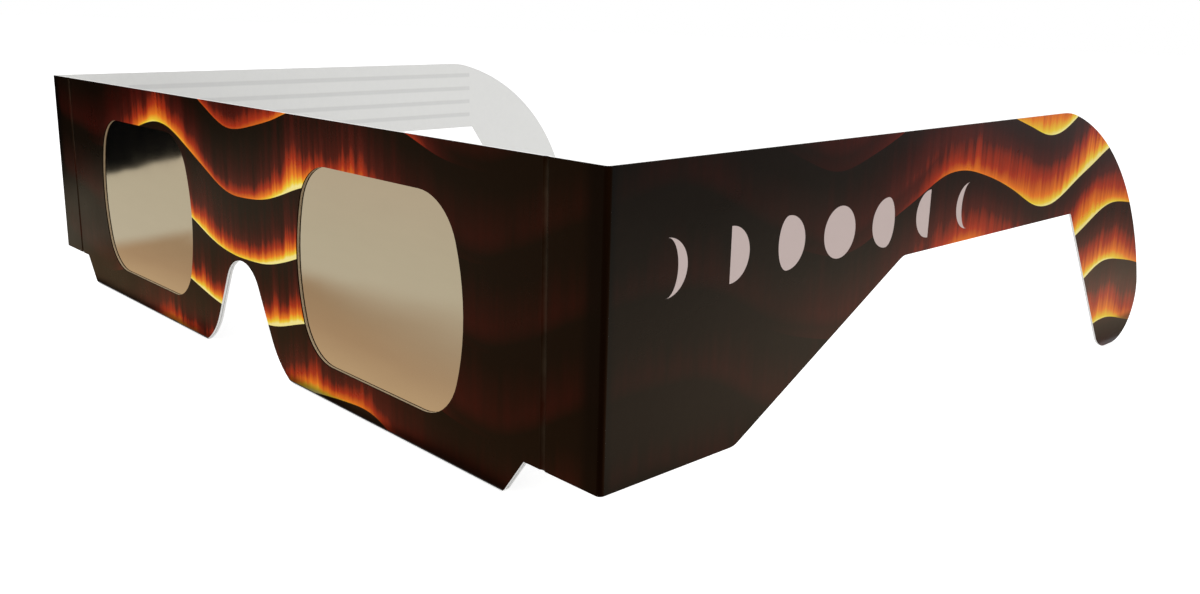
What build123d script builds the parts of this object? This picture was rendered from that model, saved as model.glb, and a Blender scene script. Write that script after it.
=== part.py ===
"""Folded-board sun viewers: one creased board blank, two filter films and the glue between them.

X runs across the face with the wearer's left at +X, Y points back along the temples and Z is up.
The origin is on the front face, midway between the windows and level with their centres.
All lengths are millimetres, and heights in the sketches are measured from the bottom fold.
"""

import os

from build123d import *

os.makedirs("parts", exist_ok=True)

# Stock
board = 0.30  # printed board
film = 0.10  # filter film, and the glue lines beside it

# Face, seen from the front
face_width = 140.0  # over the outer faces of the two temples
face_height = 35.0  # bottom fold to top edge
strip_height = 4.4  # bottom fold to the lower edge of the end strips
score_inset = 8.0  # from a temple's outer face to the score line pressed into the end strip
step_inset = 2.8  # from the score line to the step, where the back panel ends
step_bevel = 3.3  # width of the slant from the step down to the bottom fold
fold_corner_radius = 1.2
back_setback = 0.5  # the turned-up back panel stops this far below the top edge

# Windows
bridge_width = 30.3  # between the two windows
window_side_margin = 9.75  # window to the back panel's side edge
window_top_margin = 5.6
window_bottom_margin = 4.7
window_bow = 3.3  # how far each side bows out
window_corner_radius = 6.8

# Nose notch, a bell open at the bottom fold
notch_height = 14.0
notch_crown_half = 4.5
notch_crown_drop = 2.8
notch_flank_half = 7.8
notch_flank_height = 4.7
notch_foot_half = 12.55

# Pressed score line on each end strip
score_width = 0.8
score_depth = 0.15

# Temples, with distances measured back from the front face
toe_reach = 19.2  # end of the low stretch of the lower edge
toe_slope = 29.7  # length of the slant from there up to the waist
waist_height = 20.4
ear_corner_reach = 93.1  # the inner corner over the ear
shoulder_lead = 4.0  # the top edge turns down into the hook this far before the inner corner
hook_length = 30.0  # from the inner corner back to the tip's square corner, before it is rounded
hook_back_radius = 42.4
hook_tip_depth = 2.9  # the hook's tip below the bottom fold
hook_tip_width = 14.0  # along the tip's lower edge, before it is rounded
shoulder_radius = 16.0
tip_outer_radius = 7.4
tip_inner_radius = 5.0
waist_radius = 2.5
ear_corner_radius = 0.6

# Films and glue
film_overlap = 2.6  # film beyond the window on every side
glue_top_width = 1.3
glue_end_gap = 2.2  # from the top glue line's end to the back panel's side edge
glue_gap = 0.6  # between a glue line and a film or the notch
glue_side_width = 2.4
glue_bridge_width = 8.0

# Room between the layers when the temples are folded behind the face, left one first
fold_gap = 0.06

# Room between a crease and its temple, which the strip and the temple keep when they lie in line
crease_gap = 0.02

# Worked out from the sizes above
score_half = face_width / 2 - score_inset
step_half = score_half - step_inset
fold_half = step_half - step_bevel
window_outer = step_half - window_side_margin
window_inner = bridge_width / 2
window_width = window_outer - window_inner
window_centre = (window_outer + window_inner) / 2
window_height = face_height - window_top_margin - window_bottom_margin
window_centre_height = window_bottom_margin + window_height / 2
stack = 2 * board + film
bottom_z = -window_centre_height
fold_radius = stack / 2
left_bend = (stack - board + fold_gap) / 2
right_bend = (stack + 2 * fold_gap) / 2
left_hinge_x = face_width / 2 - board - left_bend
right_hinge_x = -(face_width / 2 - board - right_bend)
left_hinge_y = board + left_bend
right_hinge_y = board + right_bend


def face_plane(depth):
    """A plane parallel to the front face, this far behind it, looking forward."""
    return Plane(origin=(0, depth, bottom_z), x_dir=(1, 0, 0), z_dir=(0, -1, 0))


def side_plane(x):
    """A plane across X, with distance back and height as its two directions."""
    return Plane(origin=(x, 0, bottom_z), x_dir=(0, 1, 0), z_dir=(1, 0, 0))


def floor_plane(height):
    """A level plane at this height over the bottom fold."""
    return Plane.XY.offset(bottom_z + height)


def save(part, name):
    """Label a finished piece and write it."""
    part.label = name
    export_step(part, f"parts/{name}.step")


# Outline of the face, from hinge to hinge
with BuildSketch() as face_outline:
    with BuildLine():
        Polyline(
            (left_hinge_x, face_height),
            (left_hinge_x, strip_height),
            (step_half, strip_height),
            (fold_half, 0),
            (-fold_half, 0),
            (-step_half, strip_height),
            (right_hinge_x, strip_height),
            (right_hinge_x, face_height),
            close=True,
        )
    make_face()
    fillet(face_outline.vertices().group_by(Axis.Y)[0], fold_corner_radius)

# Outline of the back panel, which is the width of the bottom flap
with BuildSketch() as flap_outline:
    add(face_outline.sketch)
    with Locations((0, (face_height - back_setback) / 2)):
        Rectangle(2 * step_half, face_height - back_setback, mode=Mode.INTERSECT)

# One window, a rounded oblong with bowed sides
with BuildSketch() as window:
    half_width = window_width / 2
    half_height = window_height / 2
    corner_half = half_width - window_bow
    with BuildLine():
        Line((-corner_half, half_height), (corner_half, half_height))
        ThreePointArc((corner_half, half_height), (half_width, 0), (corner_half, -half_height))
        Line((corner_half, -half_height), (-corner_half, -half_height))
        ThreePointArc((-corner_half, -half_height), (-half_width, 0), (-corner_half, half_height))
    make_face()
    fillet(window.vertices(), window_corner_radius)

# Nose notch: a round crown, straight flanks and feet that flare out to the bottom fold
with BuildSketch() as nose_notch:
    crown_end_height = notch_height - notch_crown_drop
    with BuildLine():
        crown = ThreePointArc(
            (-notch_crown_half, crown_end_height),
            (0, notch_height),
            (notch_crown_half, crown_end_height),
        )
        flank = Line(crown @ 1, (notch_flank_half, notch_flank_height))
        foot = TangentArc(flank @ 1, (notch_foot_half, 0), tangent=flank % 1)
        Line(foot @ 1, (0, 0))
        Line((0, 0), (-notch_foot_half, 0))
        other_flank = Line((-notch_flank_half, notch_flank_height), crown @ 0)
        TangentArc(other_flank @ 0, (-notch_foot_half, 0), tangent=-(other_flank % 0))
    make_face()

# Both windows and the notch, as they are cut through a panel
with BuildSketch() as face_cuts:
    with Locations((window_centre, window_centre_height), (-window_centre, window_centre_height)):
        add(window.sketch)
    add(nose_notch.sketch)


def score_profile(x, surface):
    """Section of a pressed score line: a shallow round channel whose chord lies on a surface."""
    with BuildSketch() as profile:
        with BuildLine():
            ThreePointArc(
                (x - score_width / 2, surface),
                (x, surface + score_depth),
                (x + score_width / 2, surface),
            )
            Line((x - score_width / 2, surface), (x + score_width / 2, surface))
        make_face()
    return profile.sketch


# Front panel, with a score line pressed into each end strip that stands proud behind
with BuildPart() as front_panel:
    with BuildSketch(face_plane(board)):
        add(face_outline.sketch)
        with Locations((0, fold_radius / 2)):
            Rectangle(face_width, fold_radius, mode=Mode.SUBTRACT)
        add(face_cuts.sketch, mode=Mode.SUBTRACT)
    extrude(amount=board)
    for score_x in (score_half, -score_half):
        with BuildSketch(floor_plane(strip_height)):
            add(score_profile(score_x, board))
        extrude(amount=face_height - strip_height)
        with BuildSketch(floor_plane(strip_height)):
            add(score_profile(score_x, 0))
        extrude(amount=face_height - strip_height, mode=Mode.SUBTRACT)
save(front_panel.part, "front_panel")

# Back panel, turned up behind the films
with BuildPart() as back_panel:
    with BuildSketch(face_plane(stack)):
        add(flap_outline.sketch)
        with Locations((0, fold_radius / 2)):
            Rectangle(face_width, fold_radius, mode=Mode.SUBTRACT)
        add(face_cuts.sketch, mode=Mode.SUBTRACT)
    extrude(amount=board)
save(back_panel.part, "back_panel")


def bottom_fold(side):
    """The half-round bend that joins the two panels on one side of the nose."""
    with BuildPart() as bend:
        with BuildSketch(side_plane(0)):
            with Locations((fold_radius, fold_radius)):
                Circle(fold_radius)
                Circle(film / 2, mode=Mode.SUBTRACT)
            with Locations((fold_radius, fold_radius + fold_radius / 2)):
                Rectangle(stack, fold_radius, mode=Mode.SUBTRACT)
        extrude(amount=side * step_half)
        with BuildSketch(face_plane(stack)):
            add(face_outline.sketch)
            add(nose_notch.sketch, mode=Mode.SUBTRACT)
        extrude(amount=stack, mode=Mode.INTERSECT)
    return bend.part


save(bottom_fold(1), "left_bottom_fold")
save(bottom_fold(-1), "right_bottom_fold")


def corner_crease(hinge_x, hinge_y, bend, side):
    """The quarter-round bend between an end strip and its temple."""
    with BuildPart() as crease:
        with BuildSketch(floor_plane(strip_height)):
            with Locations((hinge_x, hinge_y)):
                Circle(bend + board)
                Circle(bend, mode=Mode.SUBTRACT)
            reach = bend + board
            with Locations((hinge_x + side * reach / 2, hinge_y - reach / 2)):
                Rectangle(reach, reach, mode=Mode.INTERSECT)
        extrude(amount=face_height - strip_height)
    return crease.part


save(corner_crease(left_hinge_x, left_hinge_y, left_bend, 1), "left_corner_crease")
save(corner_crease(right_hinge_x, right_hinge_y, right_bend, -1), "right_corner_crease")


def temple(start, inner_x):
    """A temple with its ear hook, from the crease back; its outline is drawn on its inner side."""
    tip_reach = ear_corner_reach + hook_length
    tip_outer = (tip_reach, -hook_tip_depth)
    tip_inner = (tip_reach - hook_tip_width, -hook_tip_depth)
    shoulder = (ear_corner_reach - shoulder_lead, face_height)
    ear_corner = (ear_corner_reach, waist_height)
    waist = (toe_reach + toe_slope, waist_height)
    toe = (toe_reach, strip_height)
    with BuildPart() as arm:
        with BuildSketch(side_plane(inner_x)):
            with BuildSketch(mode=Mode.PRIVATE) as outline:
                with BuildLine():
                    Line((start, strip_height), (start, face_height))
                    Line((start, face_height), shoulder)
                    RadiusArc(shoulder, tip_outer, hook_back_radius)
                    Polyline(tip_outer, tip_inner, ear_corner, waist, toe, (start, strip_height))
                make_face()
                for corner, radius in (
                    (shoulder, shoulder_radius),
                    (tip_outer, tip_outer_radius),
                    (tip_inner, tip_inner_radius),
                    (ear_corner, ear_corner_radius),
                    (waist, waist_radius),
                    (toe, waist_radius),
                ):
                    fillet(outline.vertices().sort_by_distance(corner)[0], radius)
            add(outline.sketch)
        extrude(amount=board)
    return arm.part


save(temple(left_hinge_y + crease_gap, face_width / 2 - board), "left_temple")
save(temple(right_hinge_y + crease_gap, -face_width / 2), "right_temple")


def filter_film(side):
    """A filter film between the panels, behind one window."""
    with BuildPart() as sheet:
        with BuildSketch(face_plane(board + film)):
            with Locations((side * window_centre, window_centre_height)):
                Rectangle(window_width + 2 * film_overlap, window_height + 2 * film_overlap)
        extrude(amount=film)
    return sheet.part


save(filter_film(1), "left_filter_film")
save(filter_film(-1), "right_filter_film")

# Edges of the films, which the glue lines keep clear of
film_top = window_centre_height + window_height / 2 + film_overlap
film_outer = window_outer + film_overlap


def glue_line(centre, length, width, turn):
    """A line of glue as thick as the film, with round ends."""
    with BuildPart() as line:
        with BuildSketch(face_plane(board + film)):
            with Locations(centre):
                SlotOverall(length, width, rotation=turn)
        extrude(amount=film)
    return line.part


glue_top_length = 2 * (step_half - glue_end_gap)
glue_top_centre = film_top + glue_gap + glue_top_width / 2
glue_side_length = film_top - strip_height
glue_side_x = (film_outer + step_half) / 2
glue_side_centre = (film_top + strip_height) / 2
glue_bridge_low = notch_height + glue_gap
glue_bridge_length = film_top - glue_bridge_low
glue_bridge_centre = (film_top + glue_bridge_low) / 2

save(glue_line((0, glue_top_centre), glue_top_length, glue_top_width, 0), "top_glue_line")
save(glue_line((glue_side_x, glue_side_centre), glue_side_length, glue_side_width, 90), "left_glue_line")
save(glue_line((-glue_side_x, glue_side_centre), glue_side_length, glue_side_width, 90), "right_glue_line")
save(glue_line((0, glue_bridge_centre), glue_bridge_length, glue_bridge_width, 90), "bridge_glue_pad")
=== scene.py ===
"""Dresses the folded-board sun viewers: printed board, silvered films, corner creases and a studio stage.

X runs across the face with the wearer's left at +X, Y points back along the temples and Z is up, in metres.
"""

import math
from typing import NamedTuple

import bpy
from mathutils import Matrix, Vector


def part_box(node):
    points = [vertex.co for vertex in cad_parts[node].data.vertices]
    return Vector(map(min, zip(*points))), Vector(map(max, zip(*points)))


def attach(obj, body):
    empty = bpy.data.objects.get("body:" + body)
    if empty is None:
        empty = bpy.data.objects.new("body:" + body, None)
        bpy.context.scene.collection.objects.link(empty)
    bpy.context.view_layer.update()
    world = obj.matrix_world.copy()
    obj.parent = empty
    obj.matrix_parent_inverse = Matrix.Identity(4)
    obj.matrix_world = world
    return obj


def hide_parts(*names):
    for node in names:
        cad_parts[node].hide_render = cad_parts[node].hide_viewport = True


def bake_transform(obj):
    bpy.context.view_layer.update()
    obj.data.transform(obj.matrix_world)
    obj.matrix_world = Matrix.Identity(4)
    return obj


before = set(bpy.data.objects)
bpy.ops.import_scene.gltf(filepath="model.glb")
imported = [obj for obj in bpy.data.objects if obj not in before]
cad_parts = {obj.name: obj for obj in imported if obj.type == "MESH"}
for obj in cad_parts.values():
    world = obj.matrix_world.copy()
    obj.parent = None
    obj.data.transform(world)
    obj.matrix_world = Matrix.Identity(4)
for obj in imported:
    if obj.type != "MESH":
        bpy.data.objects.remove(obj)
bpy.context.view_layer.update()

bl_info = {
    "name": "Folded-board sun viewers",
    "version": (1, 0, 0),
    "blender": (4, 5, 0),
    "location": "View3D > Sidebar > Sun viewers",
    "description": "Finishes and stage for a pair of folded-board sun viewers",
    "category": "Object",
}

MM = 0.001
TEMPLES = (("left", 1), ("right", -1))  # each with the sign of its X
GLUE_NODES = ("top_glue_line", "left_glue_line", "right_glue_line", "bridge_glue_pad")

# Directions that a printed side may face
FRONT = (0, -1, 0)
BACK = (0, 1, 0)

WHITE = (1.0, 1.0, 1.0)

# Places read from the frame
TEMPLE_LOW, TEMPLE_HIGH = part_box("left_temple")
BOARD = TEMPLE_HIGH.x - TEMPLE_LOW.x  # how thick the board is
CORNER = TEMPLE_HIGH.x  # from the nose to a corner crease
SCORE = CORNER - 8 * MM  # from the nose to a pressed score line
FACE_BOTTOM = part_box("front_panel")[0].z


class PrintSettings(bpy.types.PropertyGroup):
    """Inks and coating of the printed side."""

    ink: bpy.props.FloatVectorProperty(
        name="Ground ink", description="Near-black ground", subtype="COLOR", default=(0.0042, 0.0017, 0.0005)
    )
    wine: bpy.props.FloatVectorProperty(
        name="Wine", description="Darkest of the glow", subtype="COLOR", default=(0.075, 0.006, 0.003)
    )
    ember: bpy.props.FloatVectorProperty(
        name="Ember", description="Red of the glow", subtype="COLOR", default=(0.42, 0.030, 0.005)
    )
    flame: bpy.props.FloatVectorProperty(
        name="Flame", description="Orange of the glow", subtype="COLOR", default=(0.85, 0.20, 0.010)
    )
    spark: bpy.props.FloatVectorProperty(
        name="Spark", description="Yellow close to a crest", subtype="COLOR", default=(0.93, 0.66, 0.035)
    )
    edge: bpy.props.FloatVectorProperty(
        name="Edge", description="Palest line along a crest", subtype="COLOR", default=(0.97, 0.84, 0.30)
    )
    gloss: bpy.props.FloatProperty(
        name="Coating roughness", description="0 is a mirror", subtype="FACTOR", min=0, max=1, default=0.30
    )


class BoardSettings(bpy.types.PropertyGroup):
    """Bare side and cut edges of the board."""

    bare: bpy.props.FloatVectorProperty(
        name="Bare side", description="Unprinted side", subtype="COLOR", default=(0.90, 0.90, 0.88)
    )
    cut: bpy.props.FloatVectorProperty(
        name="Cut edge", description="Fibres along a cut", subtype="COLOR", default=(0.97, 0.965, 0.95)
    )
    # Tan that serves as a painted reflection of the film on the window rims, as a painted highlight along the
    # score lines, and as real wear on the bottom folds and corner creases
    wear_and_painted_light: bpy.props.FloatVectorProperty(
        name="Worn", description="Window rims and rubbed spots", subtype="COLOR", default=(0.44, 0.34, 0.22)
    )


class RuleSettings(bpy.types.PropertyGroup):
    """Faint plain rules inside each temple."""

    count: bpy.props.IntProperty(name="Rules", description="How many there are", min=1, default=4)
    lowest: bpy.props.FloatProperty(
        name="Lowest rule", description="Over the window centres", unit="LENGTH", default=0.0063
    )
    pitch: bpy.props.FloatProperty(
        name="Rule pitch", description="From one rule to the next", unit="LENGTH", default=0.0030
    )
    width: bpy.props.FloatProperty(
        name="Rule width", description="Width of a rule", unit="LENGTH", default=0.0009
    )
    start: bpy.props.FloatProperty(
        name="Start", description="Reach of a rule's start behind the face", unit="LENGTH", default=0.013
    )
    end: bpy.props.FloatProperty(
        name="End", description="Reach of a rule's end behind the face", unit="LENGTH", default=0.092
    )
    tint: bpy.props.FloatVectorProperty(
        name="Tint", description="Grey ink of the rules", subtype="COLOR", default=(0.12, 0.12, 0.13)
    )


class MarkSettings(bpy.types.PropertyGroup):
    """Row of waxing and waning discs on each temple."""

    radius: bpy.props.FloatProperty(
        name="Disc radius", description="Of one disc", unit="LENGTH", default=0.0029
    )
    pitch: bpy.props.FloatProperty(
        name="Disc pitch", description="From one disc to the next", unit="LENGTH", default=0.0092
    )
    middle: bpy.props.FloatProperty(
        name="Middle disc", description="Its reach behind the face", unit="LENGTH", default=0.0355
    )
    height: bpy.props.FloatProperty(
        name="Row height", description="Over the window centres", unit="LENGTH", default=0.0078
    )
    tint: bpy.props.FloatVectorProperty(
        name="Tint", description="Pale ink of the discs", subtype="COLOR", default=(0.60, 0.49, 0.465)
    )


class FilmSettings(bpy.types.PropertyGroup):
    """Filter films."""

    silver: bpy.props.FloatVectorProperty(
        name="Silver side", description="Outer, mirrored side", subtype="COLOR", default=(0.86, 0.84, 0.80)
    )
    smoke: bpy.props.FloatVectorProperty(
        name="Dark side", description="Side towards the eye", subtype="COLOR", default=(0.012, 0.012, 0.013)
    )
    ripple: bpy.props.FloatProperty(
        name="Ripple", description="Height of the film's slack", unit="LENGTH", default=0.00004
    )
    columns: bpy.props.IntProperty(name="Columns", description="Faces across a film", min=8, default=72)
    rows: bpy.props.IntProperty(name="Rows", description="Faces up a film", min=8, default=56)


class CreaseSettings(bpy.types.PropertyGroup):
    """Corner creases."""

    steps: bpy.props.IntProperty(name="Steps", description="Faces round a bend", min=4, default=20)
    rows: bpy.props.IntProperty(name="Rows", description="Faces up a bend", min=4, default=60)


class StageSettings(bpy.types.PropertyGroup):
    """Floor, lamps and surroundings."""

    floor: bpy.props.FloatVectorProperty(
        name="Floor", description="Colour of the floor", subtype="COLOR", default=(0.80, 0.80, 0.80)
    )
    ambient: bpy.props.FloatProperty(
        name="Ambient", description="Light from all round, where 1 is white", min=0, max=1, default=0.77
    )
    key: bpy.props.FloatProperty(name="Key lamp", description="Over the front", unit="POWER", default=2.4)
    fill: bpy.props.FloatProperty(name="Fill lamp", description="At the left", unit="POWER", default=0.5)


# What a Mix node calls the values that it can blend, by the ends of its sockets' names
MIX_KINDS = {"Float": "FLOAT", "Color": "RGBA", "Vector": "VECTOR"}
SURFACE_INPUTS = {
    "colour": "Base Color",
    "metal": "Metallic",
    "roughness": "Roughness",
    "normal": "Normal",
    "ior": "IOR",
    "specular": "Specular IOR Level",
    "tint": "Specular Tint",
}


class Pattern(NamedTuple):
    """A cloudy pattern, its scale in cells to the metre. A stretch under 1 draws it out along that axis."""

    scale: float
    detail: float
    roughness: float = 0.5
    stretch: tuple = (1, 1, 1)


class Paint:
    """The nodes of one material, or of the world."""

    def __init__(self, name, world=False):
        holders = bpy.data.worlds if world else bpy.data.materials
        self.holder = holders.new(name)
        self.holder.use_nodes = True
        self.tree = self.holder.node_tree
        self.tree.nodes.clear()

    def feed(self, socket, value):
        """Link another socket to an input, or set the input's own number or colour."""
        if isinstance(value, bpy.types.NodeSocket):
            self.tree.links.new(value, socket)
        elif socket.type == "RGBA":
            socket.default_value = (*value, 1)
        else:
            socket.default_value = value

    def node(self, kind, feeds=None, **settings):
        """Add a node, set it up and feed its inputs."""
        made = self.tree.nodes.new("ShaderNode" + kind)
        for name, value in settings.items():
            setattr(made, name, value)
        for key, value in (feeds or {}).items():
            self.feed(made.inputs[key], value)
        return made

    def math(self, operation, *values):
        """A sum on numbers or sockets."""
        return self.node("Math", dict(enumerate(values)), operation=operation).outputs[0]

    def product(self, first, *others):
        """Numbers or sockets multiplied together."""
        made = first
        for other in others:
            made = self.math("MULTIPLY", made, other)
        return made

    def spread(self, share, low, high):
        """From one number to another as the share goes from 0 to 1."""
        return self.math("MULTIPLY_ADD", share, high - low, low)

    def step(self, value, start, end):
        """A smooth ramp from 0 at the start to 1 at the end, which may be the lower of the two."""
        feeds = {"Value": value, "From Min": start, "From Max": end}
        return self.node("MapRange", feeds, interpolation_type="SMOOTHSTEP").outputs[0]

    def blend(self, share, first, second, kind="Color"):
        """From one colour, number or vector to another as the share goes from 0 to 1."""
        made = self.node("Mix", {"Factor": share}, data_type=MIX_KINDS[kind])
        sockets = {socket.identifier: socket for socket in (*made.inputs, *made.outputs)}
        self.feed(sockets[f"A_{kind}"], first)
        self.feed(sockets[f"B_{kind}"], second)
        return sockets[f"Result_{kind}"]

    def ramp(self, value, stops, kind="LINEAR"):
        """A colour read off a list of places and colours."""
        made = self.node("ValToRGB", {"Fac": value})
        made.color_ramp.interpolation = kind
        elements = made.color_ramp.elements
        while len(elements) < len(stops):
            elements.new(0.5)
        for element, (place, colour) in zip(elements, stops):
            element.position = place
            element.color = (*colour, 1)
        return made.outputs["Color"]

    def noise(self, vector, pattern):
        """A pattern's value, from 0 to 1."""
        drawn = self.node("VectorMath", {0: vector, 1: pattern.stretch}, operation="MULTIPLY").outputs[0]
        feeds = {"Scale": pattern.scale, "Detail": pattern.detail, "Roughness": pattern.roughness}
        return self.node("TexNoise", {"Vector": drawn, **feeds}).outputs["Fac"]

    def patches(self, vector, pattern, start, end):
        """Patches with soft edges where a pattern's value is high."""
        return self.step(self.noise(vector, pattern), start, end)

    def parts(self, vector):
        """The three parts of a vector."""
        return self.node("SeparateXYZ", {"Vector": vector}).outputs[:3]

    def vector(self, x, y, z):
        """A vector from three values."""
        return self.node("CombineXYZ", {"X": x, "Y": y, "Z": z}).outputs[0]

    def towards(self, normal, direction):
        """How squarely a normal faces a direction, from -1 to 1."""
        return self.node("VectorMath", {0: normal, 1: direction}, operation="DOT_PRODUCT").outputs["Value"]

    def relief(self, height, strength, distance):
        """A bumped normal."""
        feeds = {"Height": height, "Strength": strength, "Distance": distance}
        return self.node("Bump", feeds).outputs["Normal"]

    def finish(self, **feeds):
        """Close the material with its surface shader."""
        shader = self.node("BsdfPrincipled", {SURFACE_INPUTS[key]: value for key, value in feeds.items()})
        self.node("OutputMaterial", {"Surface": shader.outputs["BSDF"]})
        return self.holder

    def glow(self, colour):
        """Close the material as a card that gives off its colour."""
        light = self.node("Emission", {"Color": colour})
        self.node("OutputMaterial", {"Surface": light.outputs[0]})
        return self.holder


def shade(colour, level):
    """A colour made darker."""
    return tuple(part * level for part in colour)


def dress(name, material):
    """Give a CAD node its finish."""
    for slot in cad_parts[name].material_slots:
        slot.material = material


# How strongly the flames show at each distance from the nose, in millimetres along the unfolded blank
GLOW = (
    (0, 0.98),
    (14, 1.00),
    (26, 0.84),
    (38, 0.50),
    (50, 0.24),
    (60, 0.18),
    (72, 0.12),
    (88, 0.21),
    (104, 0.28),
    (120, 0.34),
    (136, 0.60),
    (152, 0.90),
    (168, 1.00),
    (192, 0.94),
)
# The same for the red haze behind them
HAZE = (
    (0, 0.10),
    (18, 0.22),
    (34, 0.25),
    (50, 0.18),
    (62, 0.13),
    (74, 0.03),
    (86, 0.07),
    (98, 0.14),
    (112, 0.30),
    (128, 0.70),
    (146, 1.00),
    (168, 1.00),
    (192, 0.80),
)
BLANK_REACH = 200  # where both lists end


def read_off(paint, reach, levels):
    """A level read off a list by the distance from the nose."""
    stops = [(at / BLANK_REACH, (level, level, level)) for at, level in levels]
    return paint.ramp(paint.math("DIVIDE", reach, BLANK_REACH * MM), stops, "EASE")


def blank_place(paint, place):
    """Place on the unfolded blank: along it from the nose, signed and not, and height."""
    x, y, z = paint.parts(place)
    along = paint.math("MULTIPLY_ADD", paint.math("SIGN", x), y, x)
    return along, paint.math("ABSOLUTE", along), z


CREST_PITCH = 9.6 * MM  # from one crest of flame to the next
CREST_WAVE = 52 * MM  # length of a crest's wave along the board
CREST_SWING = 3 * MM  # how far the wave rises and falls
CREST_DRIFT = 15 * MM  # how far a crest wanders besides
DRIFT = Pattern(21.0, 2.0, 0.45, stretch=(1, 0.6, 1))


def crest_place(paint, along, reach, height):
    """Number of the crest below a place, and how far up to the next one it is, from 0 to 1."""
    wander = paint.noise(paint.vector(along, height, 0.0), DRIFT)
    rise = paint.spread(wander, -CREST_DRIFT / 2, CREST_DRIFT / 2)
    wave = paint.math("COSINE", paint.product(reach, math.tau / CREST_WAVE))
    rise = paint.math("MULTIPLY_ADD", wave, -CREST_SWING, rise)
    order = paint.math("DIVIDE", paint.math("SUBTRACT", height, rise), CREST_PITCH)
    return paint.math("FLOOR", order), paint.math("FRACT", order)


THREADS = Pattern(900.0, 3.0, 0.6, stretch=(1, 0.06, 1))
THREAD_HEIGHT = (0.02, 0.74)  # of the shortest and the longest thread, in pitches
LICKS = Pattern(110.0, 2.0)
LICK_HEIGHT = 1.3  # how much longer a thread may be where the flames lick up
GUSTS = (Pattern(28.0, 1.0), 0.30, 0.62)  # the last two are where its patches start and where they are full
GUST_START = 40 * MM
GUST_LOW = 0.45  # how strongly a crest burns between its gusts
# Each crest reads these patterns in layers of its own, which lie this far from the next crest's
THREAD_LAYER, LICK_LAYER, GUST_LAYER = 7.3 * MM, 3.1 * MM, 5.7 * MM


def flame_threads(paint, along, height, crest, above):
    """Fine threads of flame that rise from each crest. It comes and goes along its length."""
    threads = paint.noise(paint.vector(along, height, paint.product(crest, THREAD_LAYER)), THREADS)
    licks = paint.noise(paint.vector(along, 0.0, paint.product(crest, LICK_LAYER)), LICKS)
    tall = paint.product(paint.spread(threads, *THREAD_HEIGHT), licks, LICK_HEIGHT)
    fall = paint.math("EXPONENT", paint.math("DIVIDE", paint.product(above, -1.0), tall))
    layer = paint.math("MULTIPLY_ADD", crest, GUST_LAYER, GUST_START)
    gust = paint.patches(paint.vector(along, 0.0, layer), *GUSTS)
    return paint.product(fall, paint.spread(gust, GUST_LOW, 1.0))


HAZE_CLOUD = Pattern(34.0, 4.0, 0.58)
STREAKS = Pattern(1300.0, 2.0, 0.6, stretch=(1, 0.045, 1))
STREAK_LEVEL = (0.42, 0.92)
HAZE_FADE = (0.95, 0.30)  # how far above a crest the haze is at its weakest, and at its strongest
HAZE_LEFT = 0.18  # what stays of it at its weakest


def haze_cloud(paint, along, height, above):
    """Haze with fine upright streaks. It dies away up to the next crest, which stands against dark ground."""
    flat = paint.vector(along, height, 0.0)
    streaks = paint.spread(paint.noise(flat, STREAKS), *STREAK_LEVEL)
    left = paint.spread(paint.step(above, *HAZE_FADE), HAZE_LEFT, 1.0)
    return paint.product(paint.noise(flat, HAZE_CLOUD), streaks, left)


# Painted shade where the board turns under at the bottom fold
TURN_UNDER = (FACE_BOTTOM + 0.1 * MM, FACE_BOTTOM + 1.4 * MM)
TURN_LEVEL = 0.25  # what the design keeps of its strength there
# Painted shade, black, along each corner crease
BAND_NEAR = (CORNER - 3.4 * MM, CORNER - 1.6 * MM)
BAND_FAR = (CORNER + 1.6 * MM, CORNER + 0.5 * MM)
BAND_SHARE = 0.9
CREASE_SHADE_BLACK = (0.0003, 0.0002, 0.0001)


def darken_bends(paint, colour, reach, height):
    """Painted shade: the design dims to the ground ink where the board turns under at the bottom fold, and
    goes black along the corner creases.
    """
    lit = paint.spread(paint.step(height, *TURN_UNDER), TURN_LEVEL, 1.0)
    colour = paint.blend(lit, bpy.context.scene.viewers_print.ink, colour)
    band = paint.product(paint.step(reach, *BAND_NEAR), paint.step(reach, *BAND_FAR), BAND_SHARE)
    return paint.blend(band, colour, CREASE_SHADE_BLACK)


DUST_CELLS = 190.0  # to the metre
DUST_CHANCE = 0.22  # share of the cells that hold a speck
SPECK_RADIUS = 0.030  # in cells
SPECK_SHARE = 0.7
SPECK_GREY = (0.42, 0.37, 0.33)


def sprinkle_dust(paint, colour, place):
    """Sparse specks of dust."""
    cells = paint.node("TexVoronoi", {"Vector": place, "Scale": DUST_CELLS})
    speck = paint.math("LESS_THAN", cells.outputs["Distance"], SPECK_RADIUS)
    chosen = paint.math("GREATER_THAN", paint.parts(cells.outputs["Color"])[0], 1 - DUST_CHANCE)
    return paint.blend(paint.product(speck, chosen, SPECK_SHARE), colour, SPECK_GREY)


SOFT_START = 0.34  # share of the pitch over which a crest comes in where the glow is weak
SHARP_GLOW = (0.16, 0.45)  # glow at which its start turns sharp
FIRE_LEVEL = 1.20
DARK_WINE = 0.40


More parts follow.
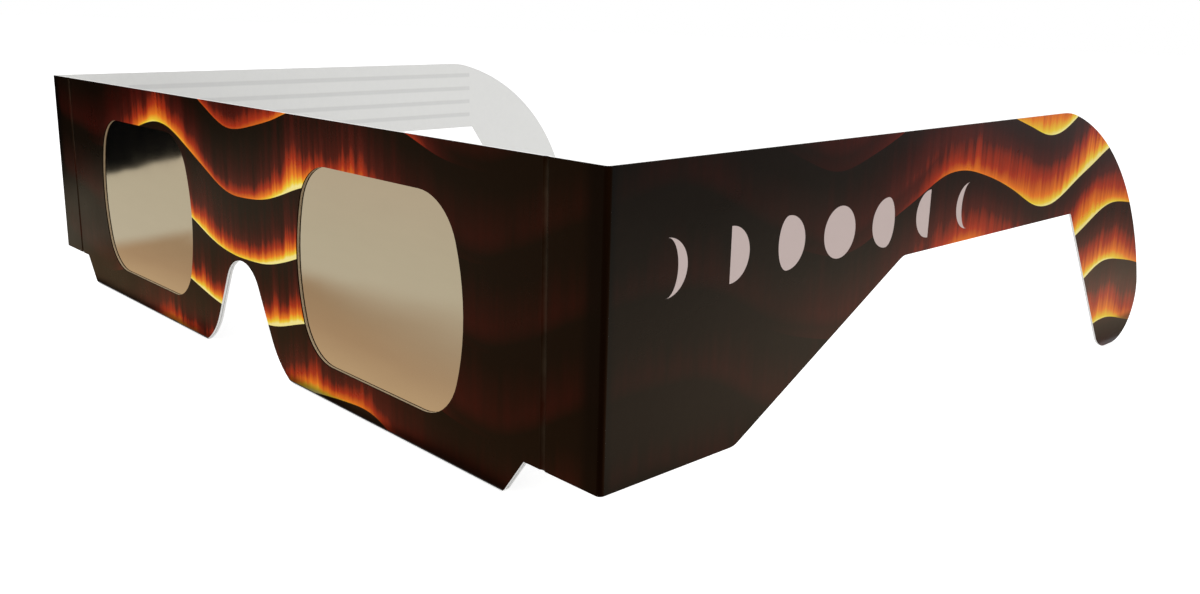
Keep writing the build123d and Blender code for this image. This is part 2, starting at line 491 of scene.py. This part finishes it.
def ember_print(paint, place):
    """Printed design: wavy crests of flame, bright along their foot, strongest at the nose and ear hooks,
    with painted shade at the bends.
    """
    inks = bpy.context.scene.viewers_print
    along, reach, height = blank_place(paint, place)
    crest, above = crest_place(paint, along, reach, height)
    glow = read_off(paint, reach, GLOW)
    start = paint.math("MAXIMUM", paint.step(above, 0.0, SOFT_START), paint.step(glow, *SHARP_GLOW))
    fire = paint.product(flame_threads(paint, along, height, crest, above), glow, FIRE_LEVEL, start)
    haze = paint.product(haze_cloud(paint, along, height, above), read_off(paint, reach, HAZE), start)
    strength = paint.math("MULTIPLY_ADD", haze, paint.math("SUBTRACT", 1.0, fire), fire)
    shades = (
        (0.02, inks.ink),
        (0.14, shade(inks.wine, DARK_WINE)),
        (0.28, inks.wine),
        (0.48, inks.ember),
        (0.70, inks.flame),
        (0.90, inks.spark),
        (1.00, inks.edge),
    )
    # Painted shade at the bottom fold and the corner creases
    colour = darken_bends(paint, paint.ramp(strength, shades), reach, height)
    return sprinkle_dust(paint, colour, place)


DISCS_EACH_SIDE = 3  # of the full disc in the middle of the row
SHADOW_START = 1.1  # where the shadow's edge stands on the full disc, in radii
SHADOW_STEP = 0.55  # how much further in it stands on each disc after that


def disc_row(paint, behind, height):
    """Share of a row of discs on a temple, from a thin crescent to full and back."""
    marks = bpy.context.scene.viewers_marks
    offset = paint.math("DIVIDE", paint.math("SUBTRACT", behind, marks.middle), marks.pitch)
    index = paint.math("ROUND", offset)
    order = paint.math("ABSOLUTE", index)
    across = paint.product(paint.math("SUBTRACT", offset, index), marks.pitch / marks.radius)
    up = paint.math("DIVIDE", paint.math("SUBTRACT", height, marks.height), marks.radius)
    room = paint.math("SUBTRACT", 1.0, paint.product(up, up))
    half = paint.math("SQRT", paint.math("MAXIMUM", room, 0.0))
    inside = paint.math("LESS_THAN", paint.math("ABSOLUTE", across), half)
    shadow = paint.product(paint.math("MULTIPLY_ADD", order, -SHADOW_STEP, SHADOW_START), half)
    lit = paint.math("LESS_THAN", paint.product(paint.math("SIGN", index), across), shadow)
    row = paint.math("LESS_THAN", order, DISCS_EACH_SIDE + 0.5)
    return paint.product(inside, lit, row)


RULE_BLUR = (1.3, 0.6)  # where a rule's edge starts and where it is full, in half widths
RULE_END = 0.4 * MM  # over which a rule's ends come in


def rule_rows(paint, behind, height):
    """Share of the plain rules inside a temple."""
    rules = bpy.context.scene.viewers_rules
    offset = paint.math("DIVIDE", paint.math("SUBTRACT", height, rules.lowest), rules.pitch)
    index = paint.math("ROUND", offset)
    away = paint.math("ABSOLUTE", paint.math("SUBTRACT", offset, index))
    half = rules.width / rules.pitch / 2
    line = paint.step(away, *(half * edge for edge in RULE_BLUR))
    row = paint.math("COMPARE", index, (rules.count - 1) / 2, rules.count / 2)
    start = paint.step(behind, rules.start, rules.start + RULE_END)
    end = paint.step(behind, rules.end + RULE_END, rules.end)
    return paint.product(line, row, start, end)


SCORE_HIGHLIGHT_REACH = 0.6 * MM  # how far from a score line the painted highlight reaches
SCORE_HIGHLIGHT = (Pattern(130.0, 4.0, 0.6), 0.34, 0.72)
SCORE_HIGHLIGHT_SHARE = 0.05


def front_ink(paint, place):
    """The design, with a painted highlight in patches along the pressed score lines."""
    x, y, z = paint.parts(place)
    off = paint.math("ABSOLUTE", paint.math("SUBTRACT", paint.math("ABSOLUTE", x), SCORE))
    # Painted highlight: patches of pale tan along each score line
    painted_highlight = paint.product(paint.step(off, SCORE_HIGHLIGHT_REACH, 0.0), paint.patches(place, *SCORE_HIGHLIGHT), SCORE_HIGHLIGHT_SHARE)
    return paint.blend(painted_highlight, ember_print(paint, place), bpy.context.scene.viewers_board.wear_and_painted_light)


def temple_ink(paint, place):
    """The design, with the row of discs over it."""
    x, y, z = paint.parts(place)
    return paint.blend(disc_row(paint, y, z), ember_print(paint, place), bpy.context.scene.viewers_marks.tint)


def ground_ink(paint, place):
    """The ground ink all over."""
    return bpy.context.scene.viewers_print.ink


FIBRES = Pattern(900.0, 5.0, 0.6)
FIBRE_SHARE = 0.10
FIBRE_DARK = 0.55
RULE_SHARE = 0.14


def bare_side(paint, place):
    """Unprinted board."""
    bare = bpy.context.scene.viewers_board.bare
    return paint.blend(paint.product(paint.noise(place, FIBRES), FIBRE_SHARE), bare, shade(bare, FIBRE_DARK))


def ruled_side(paint, place):
    """Unprinted board with the faint plain rules."""
    x, y, z = paint.parts(place)
    faint = paint.product(rule_rows(paint, y, z), RULE_SHARE)
    return paint.blend(faint, bare_side(paint, place), bpy.context.scene.viewers_rules.tint)


CUT_GRAIN = Pattern(2600.0, 2.0)
CUT_DARK = 0.9
RIM_REFLECTION_DARK = 0.8
RIM_SHADE_DEPTH = (0.14 * MM, 0.18 * MM)  # how far back from the front face the painted shade in ground ink ends on a window's rim


def cut_fibres(paint, place):
    """Fibres along a cut edge."""
    cut = bpy.context.scene.viewers_board.cut
    return paint.blend(paint.noise(place, CUT_GRAIN), cut, shade(cut, CUT_DARK))


def window_rims(paint, place):
    """Cut fibres round the windows in a tan that is a painted reflection of the film's tint, with painted
    shade in the ground ink along the front of them.
    """
    wear_and_painted_light = bpy.context.scene.viewers_board.wear_and_painted_light
    # Painted reflection: the film's tan on the rims
    rim = paint.blend(paint.noise(place, CUT_GRAIN), wear_and_painted_light, shade(wear_and_painted_light, RIM_REFLECTION_DARK))
    low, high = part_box("left_filter_film")
    middle, half = (low + high) / 2, (high - low) / 2
    x, y, z = paint.parts(place)
    beside = paint.math("COMPARE", paint.math("ABSOLUTE", x), middle.x, half.x)
    level = paint.math("COMPARE", z, middle.z, half.z)
    # Painted shade along the front of each rim
    rim = paint.blend(paint.step(y, *RIM_SHADE_DEPTH), bpy.context.scene.viewers_print.ink, rim)
    return paint.blend(paint.product(beside, level), cut_fibres(paint, place), rim)


SHINE = 0.10  # specular level of the coating
WARM = (0.85, 0.32, 0.10)  # tint of its shine on the face and the corner creases
BARE_ROUGHNESS = 0.78
SMEARS = Pattern(90.0, 5.0, 0.6, stretch=(1, 0.4, 1))
SMEAR_CHANGE = 0.12  # of the coating's roughness, up and down
PEEL = Pattern(45.0, 1.0)
FINE_PEEL = Pattern(900.0, 3.0)
FINE_SHARE = 0.06
PEEL_RELIEF = (0.35, 0.0004)  # strength and distance
FIBRE_RELIEF = (0.25, 0.00004)


def board_material(name, facing, ink, bare=bare_side, cut=cut_fibres, tint=WHITE):
    """Coated ink on the side that faces one way, bare board on the other side and fibres along the cuts."""
    gloss = bpy.context.scene.viewers_print.gloss
    paint = Paint(name)
    source = paint.node("TexCoord")
    place = source.outputs["Object"]
    towards = paint.towards(source.outputs["Normal"], facing)
    printed = paint.math("GREATER_THAN", towards, 0.5)
    inner = paint.math("LESS_THAN", towards, -0.5)
    board = paint.blend(inner, cut(paint, place), bare(paint, place))
    colour = paint.blend(printed, board, ink(paint, place))
    sheen = paint.spread(paint.noise(place, SMEARS), gloss - SMEAR_CHANGE, gloss + SMEAR_CHANGE)
    roughness = paint.blend(printed, BARE_ROUGHNESS, sheen, "Float")
    peel = paint.math("MULTIPLY_ADD", paint.noise(place, FINE_PEEL), FINE_SHARE, paint.noise(place, PEEL))
    fibres = paint.relief(paint.noise(place, FIBRES), *FIBRE_RELIEF)
    normal = paint.blend(printed, fibres, paint.relief(peel, *PEEL_RELIEF), "Vector")
    return paint.finish(colour=colour, roughness=roughness, normal=normal, specular=SHINE, tint=tint)


FOLD_WEAR = (Pattern(700.0, 4.0, 0.7), 0.62, 0.72)
FOLD_WEAR_SHARE = 0.12
FOLD_SHEEN = Pattern(60.0, 3.0)
FOLD_CHANGE = 0.10
FOLD_END = 0.3  # a face that turns this far along X is one of the fold's ends


def fold_material(name):
    """Ink all round the outside of the bottom fold, with cut fibres only at its ends."""
    inks, board = bpy.context.scene.viewers_print, bpy.context.scene.viewers_board
    paint = Paint(name)
    source = paint.node("TexCoord")
    place = source.outputs["Object"]
    wear_and_painted_light = paint.product(paint.patches(place, *FOLD_WEAR), FOLD_WEAR_SHARE)
    ink = paint.blend(wear_and_painted_light, inks.ink, board.wear_and_painted_light)
    turned = paint.math("ABSOLUTE", paint.parts(source.outputs["Normal"])[0])
    colour = paint.blend(paint.math("GREATER_THAN", turned, FOLD_END), ink, board.cut)
    roughness = paint.spread(paint.noise(place, FOLD_SHEEN), inks.gloss, inks.gloss + FOLD_CHANGE)
    return paint.finish(colour=colour, roughness=roughness, specular=SHINE)


class VIEWERS_OT_print_board(bpy.types.Operator):
    """Print and coat the board's panels, bottom folds and temples"""

    bl_idname = "viewers.print_board"
    bl_label = "Print the board"

    def execute(self, context):
        dress("front_panel", board_material("front_print", FRONT, front_ink, cut=window_rims, tint=WARM))
        dress("back_panel", board_material("eye_side_print", BACK, ground_ink, cut=window_rims))
        for side, sign in TEMPLES:
            outwards = (sign, 0, 0)
            temple = board_material(f"{side}_temple_print", outwards, temple_ink, bare=ruled_side)
            dress(f"{side}_temple", temple)
            dress(f"{side}_bottom_fold", fold_material(f"{side}_fold_print"))
        return {"FINISHED"}


SMOOTH_ANGLE = math.radians(35)  # edges sharper than this stay sharp


def add_grid(name, columns, rows, place, turn, size):
    """A flat grid of this width and length, with its place in its mesh."""
    bpy.ops.object.select_all(action="DESELECT")
    bpy.ops.mesh.primitive_grid_add(
        x_subdivisions=columns, y_subdivisions=rows, size=1, location=place, rotation=turn
    )
    piece = bpy.context.object
    piece.name = name
    piece.data.name = name
    piece.scale = (*size, 1)
    bpy.ops.object.transform_apply(location=True, rotation=True, scale=True)
    return piece


REST_PLACE = "rest_place"  # attribute that keeps the print in place on a bend that moves
OUTSIDE, INSIDE, CUT = range(3)  # order of a crease's materials
TOUCH = 0.001 * MM  # points nearer than this lie together


def bend_crease(side, sign, settings):
    """Spin the board's section round the crease's centre into a quarter bend."""
    low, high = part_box(f"{side}_corner_crease")
    hinge = Vector((low.x if sign > 0 else high.x, high.y, (low.z + high.z) / 2))
    section = (hinge.x, BOARD / 2, hinge.z)
    upright = (math.pi / 2, 0, math.pi / 2)
    piece = add_grid(f"{side}_crease_skin", 1, settings.rows, section, upright, (BOARD, high.z - low.z))
    bpy.ops.object.mode_set(mode="EDIT")
    bpy.ops.mesh.select_all(action="SELECT")
    bpy.ops.mesh.spin(steps=settings.steps, angle=-sign * math.pi / 2, center=hinge, axis=(0, 0, 1))
    bpy.ops.mesh.select_all(action="SELECT")
    bpy.ops.mesh.remove_doubles(threshold=TOUCH)
    bpy.ops.mesh.normals_make_consistent(inside=False)
    bpy.ops.mesh.select_all(action="DESELECT")
    bpy.ops.object.mode_set(mode="OBJECT")
    close_gap(piece, hinge.y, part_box(f"{side}_temple")[0].y)
    keep_rest_place(piece)
    sort_faces(piece, hinge)
    bpy.ops.object.shade_smooth_by_angle(angle=SMOOTH_ANGLE)
    return piece


def close_gap(piece, end, temple):
    """Move the bend's last row back to the temple, over the small gap that the solids keep."""
    for vertex in piece.data.vertices:
        vertex.select = vertex.co.y > end - TOUCH
    bpy.ops.object.mode_set(mode="EDIT")
    bpy.ops.transform.translate(value=(0, temple - end, 0))
    bpy.ops.object.mode_set(mode="OBJECT")


def keep_rest_place(piece):
    """Write each point's place at rest into the attribute that its print follows."""
    rest = piece.data.attributes.new(REST_PLACE, "FLOAT_VECTOR", "POINT")
    for vertex, value in zip(piece.data.vertices, rest.data):
        value.vector = vertex.co


def sort_faces(piece, hinge):
    """Give each face of a bend the number of its material."""
    for face in piece.data.polygons:
        out = face.center - hinge
        out.z = 0
        if abs(face.normal.z) > 0.5:
            face.material_index = CUT
        elif face.normal.dot(out) > 0:
            face.material_index = OUTSIDE
        else:
            face.material_index = INSIDE


CREASE_WEAR = (Pattern(900.0, 4.0, 0.7), 0.66, 0.76)
CREASE_WEAR_SHARE = 0.08
CREASE_SHEEN = Pattern(300.0, 3.0)
CREASE_CHANGE = 0.15


def crease_print(name):
    """Ink outside a bend, with patches of wear on its coating."""
    inks = bpy.context.scene.viewers_print
    paint = Paint(name)
    place = paint.node("Attribute", attribute_name=REST_PLACE).outputs["Vector"]
    wear_and_painted_light = paint.product(paint.patches(place, *CREASE_WEAR), CREASE_WEAR_SHARE)
    colour = paint.blend(wear_and_painted_light, ember_print(paint, place), bpy.context.scene.viewers_board.wear_and_painted_light)
    roughness = paint.spread(paint.noise(place, CREASE_SHEEN), inks.gloss, inks.gloss + CREASE_CHANGE)
    return paint.finish(colour=colour, roughness=roughness, specular=SHINE, tint=WARM)


CREASE_FIBRES = Pattern(1200.0, 5.0, 0.6)
CREASE_FIBRE_SHARE = 0.3
CREASE_FIBRE_DARK = 0.5


def crease_fibres(name, tone):
    """Bare board inside a bend, or the fibres at its ends."""
    paint = Paint(name)
    place = paint.node("Attribute", attribute_name=REST_PLACE).outputs["Vector"]
    share = paint.product(paint.noise(place, CREASE_FIBRES), CREASE_FIBRE_SHARE)
    colour = paint.blend(share, tone, shade(tone, CREASE_FIBRE_DARK))
    return paint.finish(colour=colour, roughness=BARE_ROUGHNESS, ior=1.45)


class VIEWERS_OT_make_creases(bpy.types.Operator):
    """Bend the two corner creases, so that they follow the temples"""

    bl_idname = "viewers.make_creases"
    bl_label = "Make the corner creases"

    def execute(self, context):
        board = context.scene.viewers_board
        for side, sign in TEMPLES:
            node = f"{side}_corner_crease"
            piece = bend_crease(side, sign, context.scene.viewers_crease)
            piece.data.materials.append(crease_print(f"{side}_crease_print"))
            piece.data.materials.append(crease_fibres(f"{side}_crease_inside", board.bare))
            piece.data.materials.append(crease_fibres(f"{side}_crease_cut", board.cut))
            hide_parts(node)
            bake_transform(piece)
        return {"FINISHED"}


FILM_GRIP = 4.2 * MM  # how far in from its edge a film is held flat
SLACK_START = 4 * MM  # over which its slack comes in from there
RIPPLE_LENGTH = 14 * MM


def film_sheet(side, settings):
    """A thin sheet, flat where the panels grip it and a little slack in the window."""
    low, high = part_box(f"{side}_filter_film")
    wide, thick, tall = high - low
    centre = (low + high) / 2
    upright = (math.pi / 2, 0, 0)
    piece = add_grid(f"{side}_film_sheet", settings.columns, settings.rows, centre, upright, (wide, tall))
    slack = piece.vertex_groups.new(name="slack")
    for vertex in piece.data.vertices:
        room = min(wide / 2 - abs(vertex.co.x - centre.x), tall / 2 - abs(vertex.co.z - centre.z)) - FILM_GRIP
        slack.add([vertex.index], max(0.0, min(1.0, room / SLACK_START)), "REPLACE")
    ripples = bpy.data.textures.new(f"{side}_ripples", "CLOUDS")
    ripples.noise_scale = RIPPLE_LENGTH
    ripples.noise_depth = 1
    ripple = piece.modifiers.new("Ripple", "DISPLACE")
    ripple.texture = ripples
    ripple.texture_coords = "LOCAL"
    ripple.strength = settings.ripple
    ripple.vertex_group = slack.name
    skin = piece.modifiers.new("Thickness", "SOLIDIFY")
    skin.thickness = thick
    skin.offset = 0
    bpy.ops.object.modifier_apply(modifier=ripple.name)
    bpy.ops.object.modifier_apply(modifier=skin.name)
    bpy.ops.object.shade_smooth_by_angle(angle=SMOOTH_ANGLE)
    return piece


FILM_CLOUD = Pattern(70.0, 2.0)
FILM_CLOUD_SHARE = 0.08
FILM_STREAKS = Pattern(600.0, 4.0, stretch=(0.2, 1, 1))
FILM_STREAK_SHARE = 0.10
FILM_DULL = 0.6
FILM_SHEEN = Pattern(240.0, 4.0)
FILM_ROUGHNESS = (0.055, 0.105)


def film_material(settings):
    """Silvered outside, smoke-dark towards the eye."""
    paint = Paint("silvered_film")
    source = paint.node("TexCoord")
    place = source.outputs["Object"]
    outside = paint.math("GREATER_THAN", paint.towards(source.outputs["Normal"], FRONT), 0.0)
    cloud = paint.product(paint.noise(place, FILM_CLOUD), FILM_CLOUD_SHARE)
    stain = paint.math("MULTIPLY_ADD", paint.noise(place, FILM_STREAKS), FILM_STREAK_SHARE, cloud)
    silver = paint.blend(stain, settings.silver, shade(settings.silver, FILM_DULL))
    colour = paint.blend(outside, settings.smoke, silver)
    roughness = paint.spread(paint.noise(place, FILM_SHEEN), *FILM_ROUGHNESS)
    return paint.finish(colour=colour, metal=outside, roughness=roughness)


class VIEWERS_OT_make_films(bpy.types.Operator):
    """Stretch a filter film behind each window"""

    bl_idname = "viewers.make_films"
    bl_label = "Make the filter films"

    def execute(self, context):
        settings = context.scene.viewers_film
        material = film_material(settings)
        for side, sign in TEMPLES:
            piece = film_sheet(side, settings)
            piece.data.materials.append(material)
            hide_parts(f"{side}_filter_film")
            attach(piece, "face")
        return {"FINISHED"}


GLUE_CLOUD = Pattern(500.0, 3.0)
GLUE_DARK = (0.62, 0.58, 0.48)
GLUE_PALE = (0.74, 0.71, 0.62)
GLUE_ROUGHNESS = (0.35, 0.55)
GLUE_RELIEF = (0.4, 0.00005)  # strength and distance


def glue_material():
    """Dried glue."""
    paint = Paint("dried_glue")
    cloud = paint.noise(paint.node("TexCoord").outputs["Object"], GLUE_CLOUD)
    return paint.finish(
        colour=paint.blend(cloud, GLUE_DARK, GLUE_PALE),
        roughness=paint.spread(cloud, *GLUE_ROUGHNESS),
        normal=paint.relief(cloud, *GLUE_RELIEF),
    )


class VIEWERS_OT_paint_glue(bpy.types.Operator):
    """Give the glue between the panels its dried look"""

    bl_idname = "viewers.paint_glue"
    bl_label = "Paint the glue"

    def execute(self, context):
        material = glue_material()
        for name in GLUE_NODES:
            dress(name, material)
        return {"FINISHED"}


def seen(paint):
    """1 for what the camera sees, straight, mirrored or through."""
    path = paint.node("LightPath")
    both = paint.math("MAXIMUM", path.outputs["Is Camera Ray"], path.outputs["Is Glossy Ray"])
    return paint.math("MAXIMUM", both, path.outputs["Is Transmission Ray"])


def lay_level(name, low, high, lift):
    """A sheet between two corners seen from above, on the slope that the viewers stand on."""
    # They stand on the bottom folds and the tips of the ear hooks
    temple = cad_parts["left_temple"]
    tip = min((temple.matrix_world @ vertex.co for vertex in temple.data.vertices), key=lambda point: point.z)
    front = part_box("left_bottom_fold")[0].z
    fall = (front - tip.z) / tip.y
    middle = ((low[0] + high[0]) / 2, (low[1] + high[1]) / 2, 0)
    sheet = add_grid(name, 1, 1, middle, (0, 0, 0), (high[0] - low[0], high[1] - low[1]))
    for vertex in sheet.data.vertices:
        vertex.co.z = front - fall * vertex.co.y + lift
    return sheet


FLOOR_CORNERS = ((-6, -6), (6, 6))
FLOOR_LIFT = -0.05 * MM
FLOOR_GLOW = 0.60  # lifts the lit floor to white where it is seen


def lay_floor(settings):
    """A pale floor, white where it is seen, that keeps the shadows."""
    paint = Paint("floor_white")
    matt = paint.node("BsdfDiffuse", {"Color": settings.floor})
    glow = paint.node("Emission", {"Color": WHITE, "Strength": paint.product(seen(paint), FLOOR_GLOW)})
    both = paint.node("AddShader", {0: matt.outputs[0], 1: glow.outputs[0]})
    paint.node("OutputMaterial", {"Surface": both.outputs[0]})
    floor = lay_level("floor", *FLOOR_CORNERS, FLOOR_LIFT)
    floor.data.materials.append(paint.holder)


def light_world(settings):
    """Even light from all round, white where it is seen."""
    paint = Paint("studio", world=True)
    level = paint.math("MAXIMUM", seen(paint), settings.ambient)
    light = paint.node("Background", {"Color": WHITE, "Strength": level})
    paint.node("OutputWorld", {"Surface": light.outputs[0]})
    bpy.context.scene.world = paint.holder


CARD_LIFT = 0.3 * MM
FRONT_CARD = ((-1.2, -1.0), (0.25, 0.0))  # corners seen from above
SIDE_CARD = ((CORNER + 0.5 * MM, 0.0), (1.2, 1.2))
FAR_CARD_PLACE = (-1.2, -0.95, 0.9)
FAR_CARD_SIZE = (2, 2)
FAR_BROWN = (0.10, 0.055, 0.030)
CARD_WAVE = 0.012  # how far the shades' edges waver
CARD_CLOUD = Pattern(22.0, 3.0)
SHADE_DEPTH = 0.16  # ahead of the face, where the shades below reach 1
TAN_SHADES = (
    # The first, dark shade is a painted shadow along the foot of the face, as the films and the coating
    # reflect it
    (0.00, (0.08, 0.06, 0.04)),
    (0.012, (0.55, 0.38, 0.215)),
    (0.04, (0.53, 0.36, 0.20)),
    (0.085, (0.43, 0.28, 0.155)),
    (0.14, (0.375, 0.25, 0.14)),
)
PALE_SHADES = (
    (0.06, (0.56, 0.49, 0.36)),
    (0.29, (0.53, 0.46, 0.33)),
    (0.54, (0.52, 0.43, 0.305)),
    (1.00, (0.47, 0.42, 0.30)),
)
TAN_DEPTH = 0.0285  # where the tan ends ahead of the face
TAN_SOFT = 0.0145  # half the softness of its edge at the nose
TAN_SOFTENS = 0.32  # what that gains for each metre towards the near side
TAN_SHARPEST = 0.0055
PALE_SIDE = (-0.076, -0.090)  # where the pale shades take over to the far side
BLACK_SLANT = -0.6  # of the far corner's edge
BLACK_EDGE = (-0.1410, -0.1465)
BLACK = (0.002, 0.002, 0.002)


def tan_card():
    """Tan beside the face, with a painted shadow right along its foot, paler beyond it and to the far side,
    and black in the far corner.
    """
    paint = Paint("card_tan")
    place = paint.node("TexCoord").outputs["Object"]
    x, y, z = paint.parts(place)
    wave = paint.spread(paint.noise(place, CARD_CLOUD), -CARD_WAVE / 2, CARD_WAVE / 2)
    across, ahead = paint.math("ADD", wave, x), paint.math("ADD", wave, y)
    soft = paint.math("MAXIMUM", paint.math("MULTIPLY_ADD", x, TAN_SOFTENS, TAN_SOFT), TAN_SHARPEST)
    edge = paint.math("DIVIDE", paint.math("ADD", ahead, TAN_DEPTH), soft)
    beyond = paint.math("MAXIMUM", paint.step(edge, 1.0, -1.0), paint.step(across, *PALE_SIDE))
    depth = paint.math("DIVIDE", ahead, -SHADE_DEPTH)
    colour = paint.blend(beyond, paint.ramp(depth, TAN_SHADES), paint.ramp(depth, PALE_SHADES))
    slant = paint.math("MULTIPLY_ADD", y, BLACK_SLANT, across)
    return paint.glow(paint.blend(paint.step(slant, *BLACK_EDGE), colour, BLACK))


SIDE_SHADES = (
    (0.00, (0.30, 0.24, 0.18)),
    (0.08, (1.60, 1.25, 0.90)),
    (0.30, (1.30, 1.10, 0.85)),
    (0.55, (0.55, 0.58, 0.52)),
    (1.00, (0.30, 0.33, 0.30)),
)
SIDE_REACH = 1 / 5.5  # from the temple, where the shades above reach 1
SIDE_DIM = (0.16, 0.09, 0.07)
SIDE_DIM_START = (0.12, 0.25)  # behind the face
SIDE_DIM_SHARE = 0.85
SIDE_GREY = (0.40, 0.38, 0.36)
SIDE_GREY_START = (0.30, 0.45)


def grey_card():
    """Warm and bright near the temple, dim and cool away from it."""
    paint = Paint("card_grey")
    x, y, z = paint.parts(paint.node("TexCoord").outputs["Object"])
    beside = paint.math("DIVIDE", paint.math("SUBTRACT", x, CORNER), SIDE_REACH)
    dim = paint.product(paint.step(y, *SIDE_DIM_START), SIDE_DIM_SHARE)
    colour = paint.blend(dim, paint.ramp(beside, SIDE_SHADES), SIDE_DIM)
    return paint.glow(paint.blend(paint.step(y, *SIDE_GREY_START), colour, SIDE_GREY))


def set_cards():
    """Studio cards that show only in the films and the coating."""
    far_card = add_grid("far_card", 1, 1, FAR_CARD_PLACE, (0, math.pi / 2, 0), FAR_CARD_SIZE)
    for card, material in (
        (lay_level("front_card", *FRONT_CARD, CARD_LIFT), tan_card()),
        (lay_level("side_card", *SIDE_CARD, CARD_LIFT), grey_card()),
        (far_card, Paint("card_brown").glow(FAR_BROWN)),
    ):
        card.data.materials.append(material)
        card.visible_camera = False
        card.visible_diffuse = False
        card.visible_shadow = False


KEY_LAMP = ((0.02, -0.55, 0.75), 0.55)  # place, and the side of its square
FILL_LAMP = ((0.75, 0.10, 0.45), 0.45)
LAMP_AIM = Vector((0, 0.05, 0))


def hang_lamp(name, place, size, power):
    """A soft square lamp aimed at the viewers."""
    bpy.ops.object.light_add(type="AREA", location=place)
    lamp = bpy.context.object
    lamp.name = name
    lamp.data.size = size
    lamp.data.energy = power
    lamp.rotation_euler = (LAMP_AIM - Vector(place)).to_track_quat("-Z", "Y").to_euler()


CAMERA_PLACE = (0.13699, -0.06616, 0.03123)
CAMERA_TURN = (76.664, -0.861, 48.144)  # in degrees
CAMERA_LENS = {"sensor_width": 36, "lens": 33.27, "shift_x": 0.03596, "shift_y": -0.02391}
CAMERA_RANGE = {"clip_start": 0.005, "clip_end": 20}


def place_camera():
    """The photograph's viewpoint, close in front of the left temple."""
    bpy.ops.object.camera_add(location=CAMERA_PLACE)
    camera = bpy.context.object
    camera.name = "camera"
    camera.rotation_euler = [math.radians(turn) for turn in CAMERA_TURN]
    for key, value in (CAMERA_LENS | CAMERA_RANGE).items():
        setattr(camera.data, key, value)
    bpy.context.scene.camera = camera


class VIEWERS_OT_set_stage(bpy.types.Operator):
    """Set up the floor, the lamps and the camera"""

    bl_idname = "viewers.set_stage"
    bl_label = "Set the stage"

    def execute(self, context):
        settings = context.scene.viewers_stage
        context.scene.view_settings.view_transform = "Standard"
        lay_floor(settings)
        light_world(settings)
        set_cards()
        hang_lamp("key_lamp", *KEY_LAMP, settings.key)
        hang_lamp("fill_lamp", *FILL_LAMP, settings.fill)
        place_camera()
        return {"FINISHED"}


class VIEWERS_PT_build(bpy.types.Panel):
    """Steps that dress the viewers"""

    bl_label = "Sun viewers"
    bl_idname = "VIEWERS_PT_build"
    bl_space_type = "VIEW_3D"
    bl_region_type = "UI"
    bl_category = "Sun viewers"

    def draw(self, context):
        for operator in OPERATORS:
            self.layout.operator(operator.bl_idname)


SETTINGS = {
    "viewers_print": PrintSettings,
    "viewers_board": BoardSettings,
    "viewers_rules": RuleSettings,
    "viewers_marks": MarkSettings,
    "viewers_film": FilmSettings,
    "viewers_crease": CreaseSettings,
    "viewers_stage": StageSettings,
}
OPERATORS = (
    VIEWERS_OT_print_board,
    VIEWERS_OT_make_creases,
    VIEWERS_OT_make_films,
    VIEWERS_OT_paint_glue,
    VIEWERS_OT_set_stage,
)
CLASSES = (*SETTINGS.values(), *OPERATORS, VIEWERS_PT_build)


def register():
    for made in CLASSES:
        bpy.utils.register_class(made)
    for name, group in SETTINGS.items():
        setattr(bpy.types.Scene, name, bpy.props.PointerProperty(type=group))


def unregister():
    for name in SETTINGS:
        delattr(bpy.types.Scene, name)
    for made in reversed(CLASSES):
        bpy.utils.unregister_class(made)


def main():
    """Run every step."""
    register()
    bpy.ops.viewers.print_board()
    bpy.ops.viewers.make_creases()
    bpy.ops.viewers.make_films()
    bpy.ops.viewers.paint_glue()
    bpy.ops.viewers.set_stage()


if __name__ == "__main__":
    main()
